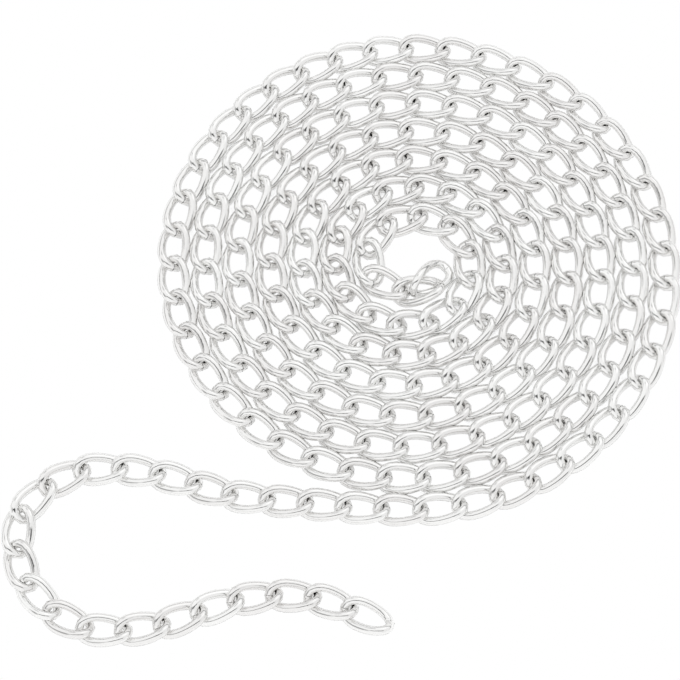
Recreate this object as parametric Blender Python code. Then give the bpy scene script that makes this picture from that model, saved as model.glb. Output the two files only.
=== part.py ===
"""A length of aluminium curb chain, laid flat as a coil with a loose tail.

The chain is one unbroken row of links. It starts at the free end of the tail, runs along the
tail and then winds inwards, anticlockwise seen from above, with every turn beside the last.
Each link is an oval of wire with a quarter turn of twist, so that the links lie flat. Only the
two innermost ones lie tilted. The links inside a run are fused where they touch each other, and
a small gap parts the runs.
"""
import math

import bpy
import bmesh
from mathutils import Matrix, Vector

# The link, in metres
WIRE = 0.0034                 # thickness of the round wire
SECTION = WIRE * math.sqrt(math.pi) / 2           # side of the square section with the wire's area
INSIDE_LENGTH = 0.0152        # of a link that nothing pushes on
FREE_END = INSIDE_LENGTH / 2 + WIRE - SECTION     # from the middle to the inside of an end that hangs free
LINK_WIDTH = 0.0126           # outside width
SHOULDER = 0.0045             # half length of the straight stretch of each side
END_HALF = 0.0019             # half length of the short stretch across each end
CROSSING = 0.0022             # height of the raised wires above the middle level, and depth of the low ones

# The chain
LINK_COUNT = 203              # 203 links of 15.2 mm are 3.09 m
TAIL_RUN_STARTS = (1, 4, 7, 15, 18, 22)           # the sharpest bends lie inside the run from 7 to 14
COIL_RUNS_START = 25
RUN_LENGTH = 4                # links in a run of the coil
LAST_RUN_LENGTH = 14          # links in the innermost run, where the bends are tight
OVERLAP = 0.0002              # how far fused links sink into each other
RUN_GAP = 0.00035             # clearance between one run and the next
BEND_CLEARANCE = 0.0030       # how far from the joint the ends of two bent links meet first

# Distance from joint to joint at these radii: slack near the coil's centre, tight in its outer turns
SPACINGS = ((0.032, 0.0133), (0.045, 0.0143), (0.060, 0.01505), (0.080, 0.0153))
TAIL_SPACING = 0.0149

# The route, measured from the centre of the coil
COIL_RADIUS = 0.1030          # radius at the angle 0, on the first turn
TURN_SPACING = 0.01305        # from one turn to the next
COIL_START = math.radians(-97)
COIL_TURNS = 7.2              # turns that the spiral is drawn for, a little more than the chain fills
ROUTE_STEP = 0.0005           # spacing of the points that the route is drawn with
LEAD_IN = 0.0304              # stretch of the coil that the tail's curve bends into
TAIL_ROUTE = (                # from the free end to where the coil starts, in metres
    (-0.0115, -0.1527),
    (-0.0396, -0.1414),
    (-0.0690, -0.1429),
    (-0.0981, -0.1532),
    (-0.1276, -0.1541),
    (-0.1498, -0.1357),
    (-0.1529, -0.1074),
    (-0.1313, -0.0898),
    (-0.1017, -0.0906),
    (-0.0729, -0.0996),
    (-0.0431, -0.1032),
)

# The two innermost links leave the spiral: the first lies a little tilted, and the last goes through
# it and leans on its edge
LAST_JOINT = Vector((-0.0047, -0.0122))           # where the last spiral link meets the first of them
INNER_LINKS = (               # centre, from the coil's centre and the floor, then turn, rise and roll in degrees
    ((0.0022, -0.0120, 0.0056), (7.8, 4.9, 13.7)),
    ((0.0076, -0.0073, 0.0051), (40.6, -18.7, 40.8)),
)

# The place of the coil's centre, with the origin under the middle of the whole chain
COIL_CENTRE = Vector((0.0255, 0.0278, 0.0))
MIDDLE_LEVEL = CROSSING + SECTION / 2                # height of the links' middle above the floor

ALUMINIUM = (0.79, 0.80, 0.81)


def spiral_point(angle):
    radius = COIL_RADIUS - TURN_SPACING * angle / math.tau
    return Vector((radius * math.cos(angle), radius * math.sin(angle)))


def smooth_span(before, start, end, after):
    """Points from start towards end on a Catmull-Rom curve, without the end itself."""
    steps = round((end - start).length / ROUTE_STEP)
    for step in range(steps):
        t = step / steps
        yield 0.5 * (
            2 * start
            + (end - before) * t
            + (2 * before - 5 * start + 4 * end - after) * t * t
            + (3 * start - before - 3 * end + after) * t ** 3
        )


def route_points():
    """The whole route as closely spaced points, from the tail's free end to the coil's centre."""
    coil = []
    angle = COIL_START
    while angle < COIL_START + COIL_TURNS * math.tau:
        point = spiral_point(angle)
        coil.append(point)
        angle += ROUTE_STEP / point.length

    lead_in = spiral_point(COIL_START + LEAD_IN / COIL_RADIUS)
    corners = [Vector(place) for place in TAIL_ROUTE] + [coil[0], lead_in]
    corners.insert(0, 2 * corners[0] - corners[1])
    tail = []
    for window in zip(corners, corners[1:], corners[2:], corners[3:]):
        tail.extend(smooth_span(*window))
    return tail + coil


def spacing_at(radius):
    if radius > COIL_RADIUS * 1.05:
        return TAIL_SPACING
    for (inner, narrow), (outer, wide) in zip(SPACINGS, SPACINGS[1:]):
        if radius < outer:
            return narrow + (wide - narrow) * max(0, radius - inner) / (outer - inner)
    return SPACINGS[-1][1]


def joints_along(route, count):
    """Places on the route where neighbouring links meet."""
    joints = [route[0]]
    for place, following in zip(route, route[1:]):
        reach = spacing_at(joints[-1].length)
        near = (place - joints[-1]).length
        far = (following - joints[-1]).length
        if far < reach:
            continue
        joints.append(place.lerp(following, (reach - near) / (far - near)))
        if len(joints) == count:
            break
    return joints


def link_places():
    """Centre, direction and spacing of every link that lies flat, from the tail inwards."""
    joints = joints_along(route_points(), LINK_COUNT - 2) + [LAST_JOINT]
    places = []
    for start, end in zip(joints, joints[1:]):
        along = end - start
        places.append(((start + end) / 2, math.atan2(along.y, along.x), along.length))
    return places


def bend_between(first, second):
    difference = second[1] - first[1]
    return abs(math.atan2(math.sin(difference), math.cos(difference)))


def mitred(outline, distance):
    """The closed outline moved outwards by a distance, with its corners kept sharp."""
    moved = []
    for index, corner in enumerate(outline):
        arriving = (corner - outline[index - 1]).normalized()
        leaving = (outline[(index + 1) % len(outline)] - corner).normalized()
        normals = Vector((arriving.y, -arriving.x)) + Vector((leaving.y, -leaving.x))
        moved.append(corner + normals * distance / (1 + arriving.dot(leaving)))
    return moved


def add_stretch(shape, ring, following):
    """A stretch of wire. Its top and underside are creased so that it bulges outwards."""
    middle = sum((corner.co for corner in ring + following), Vector()) / 8
    for side in range(4):
        beside = (side + 1) % 4
        corners = [ring[side], ring[beside], following[beside], following[side]]
        if side % 2 == 0:
            shape.faces.new(corners)
            continue
        normal = (corners[1].co - corners[0].co).cross(corners[2].co - corners[0].co)
        crease = normal.dot(corners[3].co - corners[0].co) * normal.dot(middle - corners[0].co)
        if crease < 0:
            corners = corners[1:] + corners[:1]
        shape.faces.new(corners[:3])
        shape.faces.new((corners[0], corners[2], corners[3]))


def link_mesh(back, front):
    """One link with a square section, lying along X, its ends this far behind and before the origin.

    Both are measured to the inside of the end, where the next link's wire pulls.
    """
    width = (LINK_WIDTH - SECTION) / 2
    outline = []
    for end, side in ((front, 1), (-back, 1), (-back, -1), (front, -1)):
        tip = Vector((end + math.copysign(SECTION / 2, end), side * END_HALF))
        shoulder = Vector((math.copysign(SHOULDER, end), side * width))
        outline += (tip, shoulder) if end * side > 0 else (shoulder, tip)

    shape = bmesh.new()
    rings = []
    for middle, outer, inner in zip(outline, mitred(outline, SECTION / 2), mitred(outline, -SECTION / 2)):
        level = -math.copysign(CROSSING, middle.x * middle.y)
        low, high = level - SECTION / 2, level + SECTION / 2
        section = ((outer, low), (outer, high), (inner, high), (inner, low))
        rings.append([shape.verts.new((side.x, side.y, height)) for side, height in section])
    for ring, following in zip(rings, rings[1:] + rings[:1]):
        add_stretch(shape, ring, following)
    bmesh.ops.recalc_face_normals(shape, faces=shape.faces)
    mesh = bpy.data.meshes.new("link")
    shape.to_mesh(mesh)
    shape.free()
    return mesh


def aluminium():
    material = bpy.data.materials.new("aluminium")
    material.use_nodes = True
    shader = material.node_tree.nodes["Principled BSDF"]
    shader.inputs["Base Color"].default_value = (*ALUMINIUM, 1)
    shader.inputs["Metallic"].default_value = 1.0
    shader.inputs["Roughness"].default_value = 0.22
    return material


def add_object(name, mesh, place=Matrix.Identity(4)):
    item = bpy.data.objects.new(name, mesh)
    item.matrix_world = place
    bpy.context.scene.collection.objects.link(item)
    return item


def fused(name, links):
    """One object with one closed surface, made from links that touch in a row."""
    solid = links[0]
    for link in links[1:]:
        union = solid.modifiers.new("join", "BOOLEAN")
        union.operation = "UNION"
        union.solver = "EXACT"
        union.object = link
    view = bpy.context.evaluated_depsgraph_get()
    mesh = bpy.data.meshes.new_from_object(solid.evaluated_get(view))
    mesh.name = name
    place = solid.matrix_world.copy()
    for link in links:
        bpy.data.objects.remove(link)
    return add_object(name, mesh, place)


def place_on_floor(centre, turn):
    place = COIL_CENTRE + Vector((*centre, MIDDLE_LEVEL))
    return Matrix.Translation(place) @ Matrix.Rotation(turn, 4, "Z")


def inner_place(centre, angles):
    """The place of a link that is turned, then raised at its front, then rolled about its length."""
    turn, rise, roll = (math.radians(angle) for angle in angles)
    tilt = Matrix.Rotation(-rise, 4, "Y") @ Matrix.Rotation(roll, 4, "X")
    return Matrix.Translation(COIL_CENTRE + Vector(centre)) @ Matrix.Rotation(turn, 4, "Z") @ tilt


def play_at(places, index):
    """How far the links before and after a joint stay apart, or sink together inside a run."""
    if index in run_starts():
        return RUN_GAP + BEND_CLEARANCE * math.sin(bend_between(places[index - 1], places[index]))
    return -OVERLAP


def make_link(back, front, place, metal):
    mesh = link_mesh(back, front)
    mesh.materials.append(metal)
    return add_object("link", mesh, place)


def flat_link(places, index, metal):
    """One link of a run, as long as its two joints need."""
    centre, turn, spacing = places[index]
    back = (spacing + play_at(places, index)) / 2
    front = (spacing + play_at(places, index + 1)) / 2
    return make_link(back, front, place_on_floor(centre, turn), metal)


def inner_links(metal):
    """The two innermost links: one touches the spiral's last link, and the other lies through it."""
    pulled, hanging = (inner_place(*link) for link in INNER_LINKS)
    reach = (pulled.translation - COIL_CENTRE).to_2d() - LAST_JOINT
    first = make_link(reach.length - OVERLAP / 2, FREE_END, pulled, metal)
    return [first, make_link(FREE_END, FREE_END, hanging, metal)]


def run_starts():
    """Numbers of the links that each run begins with. Link 0 is the tail end link."""
    last_start = LINK_COUNT - LAST_RUN_LENGTH
    return [*TAIL_RUN_STARTS, *range(COIL_RUNS_START, last_start, RUN_LENGTH), last_start]


def run_names(places):
    """Names by place: along the tail, then by turn from the outside of the coil to the last run."""
    names = [f"tail_run_{number + 1}" for number in range(len(TAIL_RUN_STARTS))]
    starts = run_starts()[len(names):]
    swept = 0.0
    runs_in_turn = {}
    for start, following in zip(starts, [*starts[1:], len(places) - 1]):
        turn = 1 + int(swept / math.tau)
        runs_in_turn[turn] = runs_in_turn.get(turn, 0) + 1
        names.append(f"turn_{turn}_run_{runs_in_turn[turn]}")
        for index in range(start, following):
            swept += bend_between(places[index], places[index + 1])
    names[-1] = "innermost_run"
    return names


def make_chain():
    metal = aluminium()
    places = link_places()

    centre, turn, spacing = places[0]
    front = (spacing + play_at(places, 1)) / 2
    tail_end = make_link(FREE_END, front, place_on_floor(centre, turn), metal)
    tail_end.name = "tail_end_link"

    starts = run_starts()
    for name, start, end in zip(run_names(places), starts, [*starts[1:], len(places)]):
        links = [flat_link(places, index, metal) for index in range(start, end)]
        if end == len(places):
            links += inner_links(metal)
        fused(name, links)


def main():
    for item in list(bpy.data.objects):
        bpy.data.objects.remove(item)
    make_chain()


main()
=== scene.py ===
import math

import bpy
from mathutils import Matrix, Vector


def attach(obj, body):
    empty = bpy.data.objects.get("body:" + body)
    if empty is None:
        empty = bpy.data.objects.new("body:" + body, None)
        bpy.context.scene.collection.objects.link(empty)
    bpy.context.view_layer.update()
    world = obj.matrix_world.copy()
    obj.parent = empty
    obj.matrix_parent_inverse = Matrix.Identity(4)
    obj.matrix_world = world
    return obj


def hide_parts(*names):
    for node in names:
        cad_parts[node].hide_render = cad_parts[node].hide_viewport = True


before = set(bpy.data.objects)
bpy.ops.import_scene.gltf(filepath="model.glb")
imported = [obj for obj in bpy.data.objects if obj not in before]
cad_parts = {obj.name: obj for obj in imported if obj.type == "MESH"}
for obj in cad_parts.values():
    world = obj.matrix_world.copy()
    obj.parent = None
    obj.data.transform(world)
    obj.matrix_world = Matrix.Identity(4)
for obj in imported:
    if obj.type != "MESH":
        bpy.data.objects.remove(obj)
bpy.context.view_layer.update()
print("frame loaded:", len(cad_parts), "nodes")


# One function for every colour: the hex codes are sRGB, and the shaders want linear values
def linearColour(code):
    parts = [int(code[place:place + 2], 16) / 255 for place in (1, 3, 5)]
    return [part / 12.92 if part < 0.04045 else ((part + 0.055) / 1.055) ** 2.4 for part in parts] + [1.0]


# Adds one node: settings are its properties, values go in its inputs, links feed its inputs
def addNode(tree, kind, settings=None, values=None, links=None):
    node = tree.nodes.new(kind)
    for name, setting in (settings or {}).items():
        setattr(node, name, setting)
    for name, value in (values or {}).items():
        node.inputs[name].default_value = value
    for name, source in (links or {}).items():
        tree.links.new(source, node.inputs[name])
    return node


camera = {
    "lookAt": Vector((-0.0031, -0.0059, 0.0037)),   # what the middle of the picture shows
    "distance": 1.101,
    "elevation": math.radians(66.27),
    "focalLength": 145.7,                           # mm
    "frameWidth": 36.0,                             # mm
    "nearest": 0.05,                                # nothing closer than this shows
}


def addCamera():
    lens = bpy.data.cameras.new("productCamera")
    lens.lens = camera["focalLength"]
    lens.sensor_width = camera["frameWidth"]
    lens.clip_start = camera["nearest"]
    viewer = bpy.data.objects.new("productCamera", lens)
    away = Vector((0, -math.cos(camera["elevation"]), math.sin(camera["elevation"])))
    viewer.location = camera["lookAt"] + away * camera["distance"]
    viewer.rotation_euler = (-away).to_track_quat("-Z", "Y").to_euler()
    bpy.context.scene.collection.objects.link(viewer)
    bpy.context.scene.camera = viewer


addCamera()
print("camera placed")


link = {
    "wire": 0.0035,              # thickness of the aluminium wire
    "insideLength": 0.01535,
    "outsideWidth": 0.0134,
    "twist": math.radians(37),   # from the middle of a link to each end
    "fullness": 2.7,             # 2 is an ellipse, more is a squarer oval
    "seam": 0.00022,             # gap between the cut ends of the wire
    "ovalPoints": 240,           # on the fine oval that the rings of points are set along
    "stations": 25,              # rings of points along the wire
    "endStep": 0.05,             # from each cut end to its extra ring, as a share of the even spacing
    "sides": 8,
    "wireLength": 0.045,         # of one link's wire: the drawing marks are laid along this
    "play": math.radians(1.2),   # how far a link may roll and turn either way
    "seed": 7,
}

route = {
    "links": 203,
    "centre": Vector((0.0255, 0.0278)),
    "height": 0.00371,           # of the links' middle above the floor
    "coilRadius": 0.1030,
    "coilEdge": 0.10815,         # links farther out than this belong to the tail
    "turnSpacing": 0.01305,
    "coilStart": math.radians(-97),
    "turnsDrawn": 7.2,
    "step": 0.0005,
    "leadIn": 0.0304,            # stretch of the coil that the tail's curve bends into
    "tail": (                    # from the free end to where the coil starts
        (-0.0115, -0.1527),
        (-0.0396, -0.1414),
        (-0.0690, -0.1429),
        (-0.0981, -0.1532),
        (-0.1276, -0.1541),
        (-0.1498, -0.1357),
        (-0.1529, -0.1074),
        (-0.1313, -0.0898),
        (-0.1017, -0.0906),
        (-0.0729, -0.0996),
        (-0.0431, -0.1032),
    ),
    # From joint to joint: the links lie slack near the coil's centre, and pulled tight in its outer turns
    "spacings": ((0.032, 0.0133), (0.045, 0.0143), (0.060, 0.01505), (0.080, 0.0153)),   # at these radii
    "tailSpacing": 0.0149,
}

# The two innermost links leave the spiral: the first lies a little turned up, and the last goes through
# it and leans on its edge. Their centres are measured from the coil's centre and the floor
innerEnd = {
    "joint": Vector((-0.0047, -0.0122)),    # where the spiral's last link meets the first of them
    "centres": ((0.0029, -0.0126, 0.00523), (0.0078, -0.00744, 0.00489)),
    "turns": (3.7, 39.3),                   # degrees
    "rises": (13.5, -16.4),
    "rolls": (-2.5, 40.0),
}

# Visible pieces from the tail inwards: name, links, and the CAD nodes that it stands for
chainPieces = [("tailEndLink", 1, ["tail_end_link"]), ("tailLinks", 24, [f"tail_run_{run}" for run in range(1, 7)])]
for turn, runs in enumerate((11, 8, 8, 6, 5, 3), 1):
    chainPieces.append((f"turn{turn}Links", 4 * runs, [f"turn_{turn}_run_{run}" for run in range(1, runs + 1)]))
chainPieces.append(("innermostLinks", 14, ["innermost_run"]))


def coilPoint(angle):
    radius = route["coilRadius"] - route["turnSpacing"] * angle / math.tau
    return Vector((radius * math.cos(angle), radius * math.sin(angle)))


# The whole route as closely spaced points, tail first. The tail is a smooth curve through its points
def routePoints():
    coil = []
    angle = route["coilStart"]
    while angle < route["coilStart"] + route["turnsDrawn"] * math.tau:
        coil.append(coilPoint(angle))
        angle += route["step"] / coil[-1].length
    leadIn = coilPoint(route["coilStart"] + route["leadIn"] / route["coilRadius"])
    corners = [Vector(corner) for corner in route["tail"]] + [coil[0], leadIn]
    corners.insert(0, 2 * corners[0] - corners[1])
    tail = []
    for before, start, end, after in zip(corners, corners[1:], corners[2:], corners[3:]):
        steps = round((end - start).length / route["step"])
        for t in (step / steps for step in range(steps)):
            tail.append(0.5 * (2 * start + (end - before) * t
                               + (2 * before - 5 * start + 4 * end - after) * t * t
                               + (3 * start - before - 3 * end + after) * t ** 3))
    return tail + coil


def spacingAt(radius):
    if radius > route["coilEdge"]:
        return route["tailSpacing"]
    spacings = route["spacings"]
    for (inner, narrow), (outer, wide) in zip(spacings, spacings[1:]):
        if radius < outer:
            return narrow + (wide - narrow) * max(0, radius - inner) / (outer - inner)
    return spacings[-1][1]


# Centre and turn of every link: [(x, y, z), (roll, pitch, turn)]
def linkPlaces():
    points = routePoints()
    joints = [points[0]]
    for place, following in zip(points, points[1:]):
        reach = spacingAt(joints[-1].length)
        near, far = (place - joints[-1]).length, (following - joints[-1]).length
        if far >= reach and len(joints) < route["links"] - 2:
            joints.append(place.lerp(following, (reach - near) / (far - near)))
    joints.append(innerEnd["joint"])
    places = []
    for start, end in zip(joints, joints[1:]):
        along = end - start
        middle = (start + end) / 2 + route["centre"]
        places.append(((*middle, route["height"]), (0, 0, math.atan2(along.y, along.x))))
    for centre, turn, rise, roll in zip(*(innerEnd[key] for key in ("centres", "turns", "rises", "rolls"))):
        pose = [math.radians(angle) for angle in (roll, -rise, turn)]
        places.append((tuple(Vector(centre) + Vector((*route["centre"], 0))), pose))
    return places


# What the links' tree takes in: each socket, its kind, and the value that it is given
linkInputs = (
    ("Wire", "Float", link["wire"]),
    ("Inside Length", "Float", link["insideLength"]),
    ("Outside Width", "Float", link["outsideWidth"]),
    ("Twist", "Float", link["twist"]),
    ("Fullness", "Float", link["fullness"]),
    ("Seam", "Float", link["seam"]),
    ("Oval Points", "Int", link["ovalPoints"]),
    ("Stations", "Int", link["stations"]),
    ("End Step", "Float", link["endStep"]),
    ("Sides", "Int", link["sides"]),
    ("Wire Length", "Float", link["wireLength"]),
    ("Play", "Float", link["play"]),
    ("Seed", "Int", link["seed"]),
)


# Geometry Nodes: one link is swept along a twisted oval and set at every place
def linkTree():
    tree = bpy.data.node_groups.new("curbLinks", "GeometryNodeTree")
    tree.interface.new_socket(name="Links", in_out="OUTPUT", socket_type="NodeSocketGeometry")
    tree.interface.new_socket(name="Places", in_out="INPUT", socket_type="NodeSocketGeometry")
    tree.interface.new_socket(name="Metal", in_out="INPUT", socket_type="NodeSocketMaterial")
    for name, kind, _ in linkInputs:
        tree.interface.new_socket(name=name, in_out="INPUT", socket_type=f"NodeSocket{kind}")
    given = tree.nodes.new("NodeGroupInput").outputs

    def calculate(operation, *values):
        node = addNode(tree, "ShaderNodeMath", {"operation": operation})
        for place, value in enumerate(values):
            if isinstance(value, (int, float)):
                node.inputs[place].default_value = value
            else:
                tree.links.new(value, node.inputs[place])
        return node.outputs[0]

    # Half length and half width of the oval that the middle of the wire follows
    halfLength = calculate("MULTIPLY", calculate("ADD", given["Inside Length"], given["Wire"]), 0.5)
    halfWidth = calculate("MULTIPLY", calculate("SUBTRACT", given["Outside Width"], given["Wire"]), 0.5)

    # Angle round the oval. It starts and ends at the seam, in the middle of the leading end
    along = tree.nodes.new("GeometryNodeSplineParameter").outputs["Factor"]
    power = calculate("DIVIDE", 2.0, given["Fullness"])
    seamShare = calculate("MULTIPLY", calculate("DIVIDE", given["Seam"], halfWidth), 0.5)
    skipped = calculate("POWER", seamShare, calculate("DIVIDE", 1.0, power))
    angle = calculate("MULTIPLY_ADD", along, calculate("MULTIPLY_ADD", skipped, -2.0, math.tau), skipped)

    def ovalSide(wave, reach):
        swing = calculate(wave, angle)
        full = calculate("POWER", calculate("ABSOLUTE", swing), power)
        return calculate("MULTIPLY", calculate("MULTIPLY", calculate("SIGN", swing), full), reach)

    lengthwise = ovalSide("COSINE", halfLength)
    sideways = ovalSide("SINE", halfWidth)
    turned = calculate("MULTIPLY", calculate("DIVIDE", lengthwise, halfLength),
                       calculate("MULTIPLY", given["Twist"], -1.0))
    place = addNode(tree, "ShaderNodeCombineXYZ", links={
        "X": lengthwise,
        "Y": calculate("MULTIPLY", sideways, calculate("COSINE", turned)),
        "Z": calculate("MULTIPLY", sideways, calculate("SINE", turned)),
    }).outputs[0]

    line = addNode(tree, "GeometryNodeCurvePrimitiveLine").outputs[0]
    fine = addNode(tree, "GeometryNodeResampleCurve", links={"Curve": line, "Count": given["Oval Points"]}).outputs[0]
    bent = addNode(tree, "GeometryNodeSetPosition", links={"Geometry": fine, "Position": place}).outputs[0]

    # The stations are evenly spaced, with one more close to each cut end, so that the ends are cut square.
    # The first and the last are clamped to the ends, the next ones stand an end step inside them
    index = tree.nodes.new("GeometryNodeInputIndex").outputs[0]
    evenSteps = calculate("SUBTRACT", given["Stations"], 3.0)
    step = calculate("DIVIDE", 1.0, calculate("MULTIPLY_ADD", given["End Step"], 2.0, evenSteps))
    factor = calculate("MULTIPLY", calculate("ADD", calculate("SUBTRACT", index, 1.0), given["End Step"]), step)
    bounded = addNode(tree, "ShaderNodeClamp", links={"Value": factor}).outputs[0]
    sampled = addNode(tree, "GeometryNodeSampleCurve", links={"Curves": bent, "Factor": bounded})
    stations = addNode(tree, "GeometryNodeResampleCurve", links={"Curve": line, "Count": given["Stations"]})
    oval = addNode(tree, "GeometryNodeSetPosition", links={
        "Geometry": stations.outputs[0],
        "Position": sampled.outputs["Position"],
    }).outputs[0]
    ring = addNode(tree, "GeometryNodeCurvePrimitiveCircle", links={
        "Resolution": given["Sides"],
        "Radius": calculate("MULTIPLY", given["Wire"], 0.5),
    }).outputs["Curve"]

    # Where a point lies on the wire: round it, and along it. The drawing marks follow this
    length = calculate("MULTIPLY", bounded, given["Wire Length"])
    storedLength = addNode(tree, "GeometryNodeStoreNamedAttribute", {"data_type": "FLOAT", "domain": "POINT"},
                           {"Name": "wireLength"}, {"Geometry": oval, "Value": length}).outputs[0]
    ringPlace = tree.nodes.new("GeometryNodeInputPosition").outputs[0]
    around = addNode(tree, "GeometryNodeStoreNamedAttribute", {"data_type": "FLOAT_VECTOR", "domain": "POINT"},
                     {"Name": "wireRound"}, {"Geometry": ring, "Value": ringPlace}).outputs[0]
    oneLink = addNode(tree, "GeometryNodeCurveToMesh", values={"Fill Caps": True},
                      links={"Curve": storedLength, "Profile Curve": around}).outputs[0]

    # Every link rolls and turns a little its own way. It doesn't tip, because its neighbours hold its ends
    number = addNode(tree, "GeometryNodeInputNamedAttribute", {"data_type": "INT"}, {"Name": "linkNumber"})
    lean = addNode(tree, "FunctionNodeRandomValue", {"data_type": "FLOAT_VECTOR"},
                   links={"ID": number.outputs["Attribute"], "Seed": given["Seed"]})
    most = addNode(tree, "ShaderNodeCombineXYZ", links={name: given["Play"] for name in "XZ"}).outputs[0]
    least = addNode(tree, "ShaderNodeVectorMath", {"operation": "SCALE"}, {"Scale": -1.0}, {0: most}).outputs[0]
    tree.links.new(most, lean.inputs["Max"])
    tree.links.new(least, lean.inputs["Min"])
    heading = addNode(tree, "GeometryNodeInputNamedAttribute", {"data_type": "FLOAT_VECTOR"}, {"Name": "heading"})
    turn = addNode(tree, "FunctionNodeEulerToRotation", links={0: heading.outputs["Attribute"]}).outputs[0]
    leaning = addNode(tree, "FunctionNodeEulerToRotation", links={0: lean.outputs["Value"]}).outputs[0]
    pose = addNode(tree, "FunctionNodeRotateRotation", {"rotation_space": "LOCAL"},
                   links={"Rotation": turn, "Rotate By": leaning}).outputs[0]
    placed = addNode(tree, "GeometryNodeInstanceOnPoints", links={
        "Points": given["Places"],
        "Instance": oneLink,
        "Rotation": pose,
    }).outputs[0]

    # Each link has its own shade, from how the tumbling left it
    shade = addNode(tree, "FunctionNodeRandomValue", {"data_type": "FLOAT"},
                    links={"ID": number.outputs["Attribute"], "Seed": given["Seed"]})
    shaded = addNode(tree, "GeometryNodeStoreNamedAttribute", {"data_type": "FLOAT", "domain": "INSTANCE"},
                     {"Name": "linkShade"}, {"Geometry": placed, "Value": shade.outputs[1]}).outputs[0]
    realised = addNode(tree, "GeometryNodeRealizeInstances", links={"Geometry": shaded}).outputs[0]
    smooth = addNode(tree, "GeometryNodeSetShadeSmooth", links={"Geometry": realised}).outputs[0]
    finished = addNode(tree, "GeometryNodeSetMaterial", links={"Geometry": smooth, "Material": given["Metal"]})
    addNode(tree, "NodeGroupOutput", links={"Links": finished.outputs[0]})
    return tree


# Bright-dipped aluminium wire, drawn and then tumbled: near-white metal with a soft mirror finish, faint
# drawing lines along the wire and tiny knocks from the tumbling
def brightAluminiumWire():
    finish = {
        "shades": ("#EFEEED", "#F6F6F5"),   # of the duller and the brighter links
        "roughness": (0.09, 0.15),
        "drawingLines": 0.00045,            # real ones are 0.05 mm apart: drawn wider so that they show
        "lineStretch": 14,                  # how much longer the lines are than they are apart
        "drawingDepth": 0.0000025,
        "knocks": 0.0016,                   # from one knock to the next
        "knockRange": (0.3, 0.7),           # of the noise, from the shiniest spots to the dullest
        "knockDepth": 0.000012,
    }
    metal = bpy.data.materials.new("brightAluminiumWire")
    metal.use_nodes = True
    tree = metal.node_tree
    shader = tree.nodes["Principled BSDF"]
    shader.inputs["Metallic"].default_value = 1.0

    shade = addNode(tree, "ShaderNodeAttribute", {"attribute_name": "linkShade"})
    colours = addNode(tree, "ShaderNodeValToRGB", links={"Fac": shade.outputs["Fac"]})
    for stop, code in zip(colours.color_ramp.elements, finish["shades"]):
        stop.color = linearColour(code)
    tree.links.new(colours.outputs["Color"], shader.inputs["Base Color"])

    # Drawing lines: noise that is fine round the wire and long along it
    aroundWire = addNode(tree, "ShaderNodeAttribute", {"attribute_name": "wireRound"}).outputs["Vector"]
    length = addNode(tree, "ShaderNodeAttribute", {"attribute_name": "wireLength"}).outputs["Fac"]
    stretch = addNode(tree, "ShaderNodeCombineXYZ", links={"Z": length}).outputs[0]
    wirePlace = addNode(tree, "ShaderNodeVectorMath", {"operation": "MULTIPLY_ADD"},
                        {1: (1.0, 1.0, 0.0)}, {0: aroundWire, 2: stretch}).outputs[0]
    fine = 1 / finish["drawingLines"]
    drawn = addNode(tree, "ShaderNodeMapping", values={"Scale": (fine, fine, fine / finish["lineStretch"])},
                    links={"Vector": wirePlace})
    lines = addNode(tree, "ShaderNodeTexNoise", values={"Scale": 1.0, "Detail": 2.0},
                    links={"Vector": drawn.outputs[0]}).outputs["Fac"]

    place = tree.nodes.new("ShaderNodeTexCoord").outputs["Object"]
    knocks = addNode(tree, "ShaderNodeTexNoise", values={"Scale": 1 / finish["knocks"], "Detail": 3.0},
                     links={"Vector": place}).outputs["Fac"]
    rough = addNode(tree, "ShaderNodeMapRange", values={
        "From Min": finish["knockRange"][0], "From Max": finish["knockRange"][1],
        "To Min": finish["roughness"][0], "To Max": finish["roughness"][1],
    }, links={"Value": knocks}).outputs[0]
    tree.links.new(rough, shader.inputs["Roughness"])

    lineBump = addNode(tree, "ShaderNodeBump", values={"Strength": 1.0, "Distance": finish["drawingDepth"]},
                       links={"Height": lines}).outputs[0]
    knockBump = addNode(tree, "ShaderNodeBump", values={"Strength": 1.0, "Distance": finish["knockDepth"]},
                        links={"Height": knocks, "Normal": lineBump}).outputs[0]
    tree.links.new(knockBump, shader.inputs["Normal"])
    return metal


# The places of some links as loose points, which the tree reads
def placePoints(name, places, firstNumber):
    mesh = bpy.data.meshes.new(name)
    mesh.from_pydata([centre for centre, _ in places], [], [])
    heading = mesh.attributes.new("heading", "FLOAT_VECTOR", "POINT")
    heading.data.foreach_set("vector", [part for _, turn in places for part in turn])
    number = mesh.attributes.new("linkNumber", "INT", "POINT")
    number.data.foreach_set("value", range(firstNumber, firstNumber + len(places)))
    piece = bpy.data.objects.new(name, mesh)
    bpy.context.scene.collection.objects.link(piece)
    return piece


# A plain mesh of links at these places
def makeLinks(name, places, firstNumber, tree, metal):
    piece = placePoints(name, places, firstNumber)
    growth = piece.modifiers.new("links", "NODES")
    growth.node_group = tree
    settings = {"Metal": metal, **{socket: value for socket, _, value in linkInputs}}
    for socket in tree.interface.items_tree:
        if socket.in_out == "INPUT" and socket.name in settings:
            growth[socket.identifier] = settings[socket.name]
    piece.update_tag()
    view = bpy.context.evaluated_depsgraph_get()
    plain = bpy.data.meshes.new_from_object(piece.evaluated_get(view))
    plain.name = name
    points = piece.data
    piece.modifiers.clear()
    piece.data = plain
    bpy.data.meshes.remove(points)
    return piece


def makeChain():
    metal = brightAluminiumWire()
    tree = linkTree()
    places = linkPlaces()
    number = 0
    for name, count, nodes in chainPieces:
        piece = makeLinks(name, places[number:number + count], number, tree, metal)
        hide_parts(*nodes)
        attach(piece, "root")
        number += count
    print("chain made:", number, "links")


makeChain()


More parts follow.
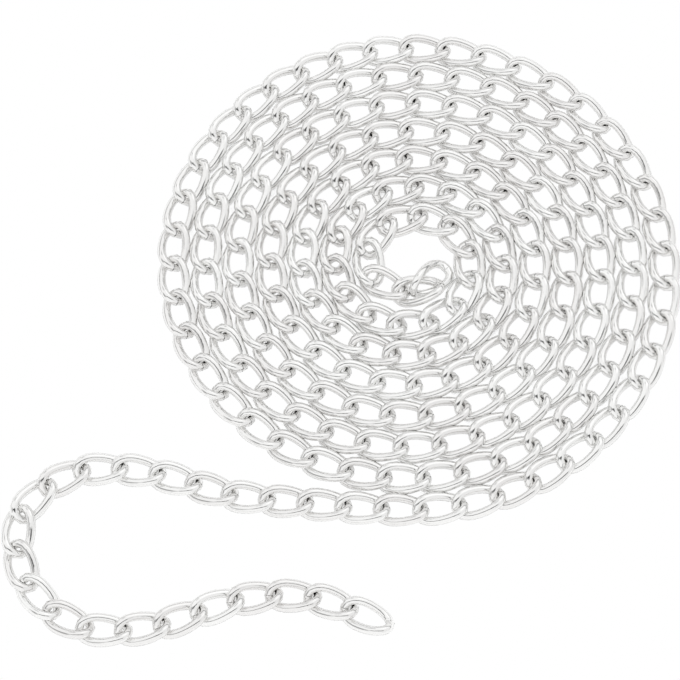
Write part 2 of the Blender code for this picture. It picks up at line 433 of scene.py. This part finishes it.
studio = {
    "reach": 3.0,             # half the width of the paper
    "paper": "#DEDEDE",       # as the links mirror it
    "paperGlow": 0.40,        # light that the paper lets through from below
    "shadowReach": 0.006,     # how near the links have to be to paint shadow on the paper that the camera sees
    "shadowed": (0.02, 0.13), # how open the paper is to the sky: dark below the first, white above the second
    "shadowDepth": 0.15,      # brightness of the painted shadow on the paper in the narrowest gaps
    "shadowSamples": 8,
    "overhead": 1.00,         # brightness of the white tent straight above
    "sides": 1.04,            # lower down
    "horizon": 0.76,          # where the tent meets the paper
    "horizonTop": 0.10,       # sine of the height up to which it darkens
    "spots": (                # direction, radius and soft edge in degrees, brightness
        ((0.86, -0.30, 0.41), 38.0, 22.0, 0.91),    # the side of the tent that faces away from the lamp
        ((-0.82, -0.26, 0.50), 14.0, 9.0, 0.40),    # the dark room, through a gap at the front left
        ((-0.28, 0.65, 0.71), 7.0, 5.0, 0.50),      # a lamp stand behind the tent
        ((0.40, 0.53, 0.75), 13.0, 11.0, 1.15),     # the lamp
        ((0.03, -0.40, 0.91), 8.0, 2.0, 0.08),      # the camera
    ),
    "bars": (                 # lean from overhead to the back, half width and soft edge in degrees, brightness,
                              # and sine of the angle at which it ends to the left and right
        (-22.5, 6.0, 2.5, 0.06, 0.55),    # the boom that holds the camera
        (74.0, 4.0, 3.0, 0.30, 1.10),     # the far edge of the tent
    ),
    "barFade": 0.1,           # how softly the bars end, as a sine too
}


# White paper, burnt out in the photo: the camera sees plain white but for the narrowest gaps, and the links
# mirror the paper itself
def addPaper():
    reach = studio["reach"]
    mesh = bpy.data.meshes.new("paper")
    corners = [(-reach, -reach, 0), (reach, -reach, 0), (reach, reach, 0), (-reach, reach, 0)]
    mesh.from_pydata(corners, [], [(0, 1, 2, 3)])
    paper = bpy.data.objects.new("paper", mesh)
    bpy.context.scene.collection.objects.link(paper)
    material = bpy.data.materials.new("whitePaper")
    material.use_nodes = True
    tree = material.node_tree
    tree.nodes.clear()
    # Painted shadow: for the camera the paper is a white glow, darkened by ambient occlusion where links lie close
    # above it, down to the shadow depth in the narrowest gaps
    nearby = addNode(tree, "ShaderNodeAmbientOcclusion", {"samples": studio["shadowSamples"]},
                     {"Distance": studio["shadowReach"]})
    paintedShadeLevel = addNode(tree, "ShaderNodeMapRange", {"interpolation_type": "SMOOTHSTEP"}, {
        "From Min": studio["shadowed"][0], "From Max": studio["shadowed"][1], "To Min": studio["shadowDepth"],
    }, {"Value": nearby.outputs["AO"]}).outputs[0]
    seenWithPaintedShadow = addNode(tree, "ShaderNodeEmission", links={"Strength": paintedShadeLevel}).outputs[0]
    matt = addNode(tree, "ShaderNodeBsdfDiffuse", values={"Color": linearColour(studio["paper"])}).outputs[0]
    glow = addNode(tree, "ShaderNodeEmission", values={"Strength": studio["paperGlow"]}).outputs[0]
    mirrored = addNode(tree, "ShaderNodeAddShader", links={0: matt, 1: glow}).outputs[0]
    direct = tree.nodes.new("ShaderNodeLightPath").outputs["Is Camera Ray"]
    mixed = addNode(tree, "ShaderNodeMixShader", links={0: direct, 1: mirrored, 2: seenWithPaintedShadow}).outputs[0]
    addNode(tree, "ShaderNodeOutputMaterial", links={"Surface": mixed})
    mesh.materials.append(material)


# A white tent, brightest overhead, with the lamp and the dark things that the links mirror
def addTent():
    world = bpy.data.worlds.new("whiteTent")
    world.use_nodes = True
    tree = world.node_tree
    background = tree.nodes["Background"]
    background.inputs["Color"].default_value = (1, 1, 1, 1)
    direction = tree.nodes.new("ShaderNodeTexCoord").outputs["Generated"]
    parts = addNode(tree, "ShaderNodeSeparateXYZ", links={0: direction}).outputs
    height = parts["Z"]
    sideways = addNode(tree, "ShaderNodeMath", {"operation": "ABSOLUTE"}, links={0: parts["X"]}).outputs[0]
    light = addNode(tree, "ShaderNodeMapRange", values={"To Min": studio["sides"], "To Max": studio["overhead"]},
                    links={"Value": height}).outputs[0]
    rim = addNode(tree, "ShaderNodeMapRange", {"interpolation_type": "SMOOTHSTEP"}, {
        "From Max": studio["horizonTop"], "To Min": studio["horizon"],
    }, {"Value": height}).outputs[0]
    light = addNode(tree, "ShaderNodeMath", {"operation": "MULTIPLY"}, links={0: light, 1: rim}).outputs[0]
    for towards, radius, blur, brightness in studio["spots"]:
        middle = Vector(towards).normalized()
        facing = addNode(tree, "ShaderNodeVectorMath", {"operation": "DOT_PRODUCT"}, {1: middle}, {0: direction})
        inside = addNode(tree, "ShaderNodeMapRange", {"interpolation_type": "SMOOTHSTEP"}, {
            "From Min": math.cos(math.radians(radius + blur)),
            "From Max": math.cos(math.radians(max(0, radius - blur))),
        }, {"Value": facing.outputs["Value"]}).outputs[0]
        light = addNode(tree, "ShaderNodeMix", {"data_type": "FLOAT"}, {3: brightness},
                        {0: inside, 2: light}).outputs[0]
    for lean, halfWidth, blur, brightness, end in studio["bars"]:
        across = Vector((0, math.cos(math.radians(lean)), -math.sin(math.radians(lean))))
        off = addNode(tree, "ShaderNodeVectorMath", {"operation": "DOT_PRODUCT"}, {1: across}, {0: direction})
        away = addNode(tree, "ShaderNodeMath", {"operation": "ABSOLUTE"}, links={0: off.outputs["Value"]}).outputs[0]
        clear = addNode(tree, "ShaderNodeMapRange", {"interpolation_type": "SMOOTHSTEP"}, {
            "From Min": math.sin(math.radians(halfWidth - blur)),
            "From Max": math.sin(math.radians(halfWidth + blur)),
        }, {"Value": away}).outputs[0]
        beyond = addNode(tree, "ShaderNodeMapRange", {"interpolation_type": "SMOOTHSTEP"}, {
            "From Min": end - studio["barFade"], "From Max": end + studio["barFade"],
        }, {"Value": sideways}).outputs[0]
        clear = addNode(tree, "ShaderNodeMath", {"operation": "MAXIMUM"}, links={0: clear, 1: beyond}).outputs[0]
        light = addNode(tree, "ShaderNodeMix", {"data_type": "FLOAT"}, {2: brightness},
                        {0: clear, 3: light}).outputs[0]
    tree.links.new(light, background.inputs["Strength"])
    bpy.context.scene.world = world


addPaper()
addTent()
bpy.context.scene.view_settings.view_transform = "Standard"
print("studio ready")
